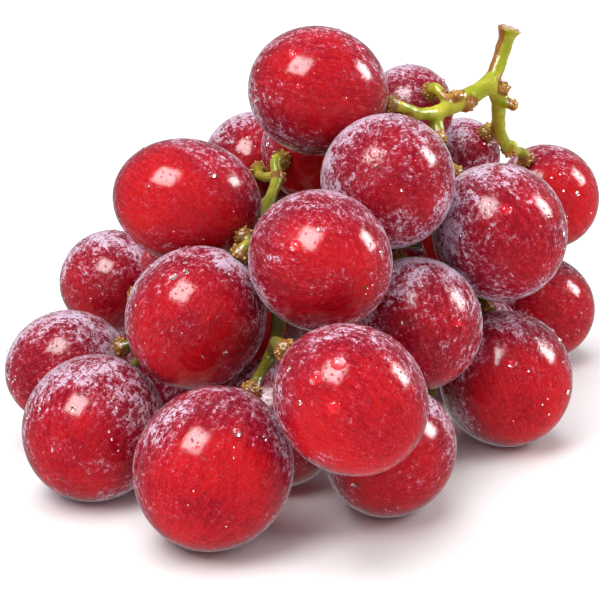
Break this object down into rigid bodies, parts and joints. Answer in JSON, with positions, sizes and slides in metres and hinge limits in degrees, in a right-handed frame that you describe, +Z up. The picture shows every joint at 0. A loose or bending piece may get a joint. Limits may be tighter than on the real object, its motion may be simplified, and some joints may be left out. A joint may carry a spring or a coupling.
{
  "type": "bunch of grapes",
  "caption": "Bunch of large round table grapes on a branched green stem with a short cut end, lying on its side in a loose heap.",
  "frame": {"origin": "middle of the bunch's footprint, on the surface that it lies on", "axes": "+Z up; -Y towards the side that the bunch is seen from, with its low front tip; +X to the right of that view, where the cut stem stands up"},
  "size_m": [0.1232, 0.1382, 0.0799],
  "materials": {
    "skin": "gloss",
    "greenwood": "satin"
  },
  "bodies": {
    "root": {"berry_back_1": "skin", "berry_back_2": "skin", "berry_back_3": "skin", "berry_back_4": "skin", "berry_back_5": "skin", "berry_back_6": "skin", "berry_back_7": "skin", "berry_back_right_1": "skin", "berry_back_right_2": "skin", "berry_back_right_3": "skin", "berry_left_1": "skin", "berry_left_2": "skin", "berry_left_3": "skin", "berry_left_4": "skin", "berry_left_5": "skin", "berry_lower_right_1": "skin", "berry_lower_right_2": "skin", "berry_lower_right_3": "skin", "berry_lower_right_4": "skin", "berry_lower_right_5": "skin", "berry_right_1": "skin", "berry_right_2": "skin", "berry_stem_1": "skin", "berry_stem_2": "skin", "berry_stem_3": "skin", "berry_stem_4": "skin", "berry_stem_5": "skin", "berry_stem_6": "skin", "berry_stem_7": "skin", "berry_top_1": "skin", "berry_upper_left_1": "skin", "berry_upper_left_2": "skin", "berry_upper_left_3": "skin", "berry_upper_left_4": "skin", "berry_upper_left_5": "skin", "berry_upper_left_6": "skin", "rachis": "greenwood"}
  },
  "joints": []
}
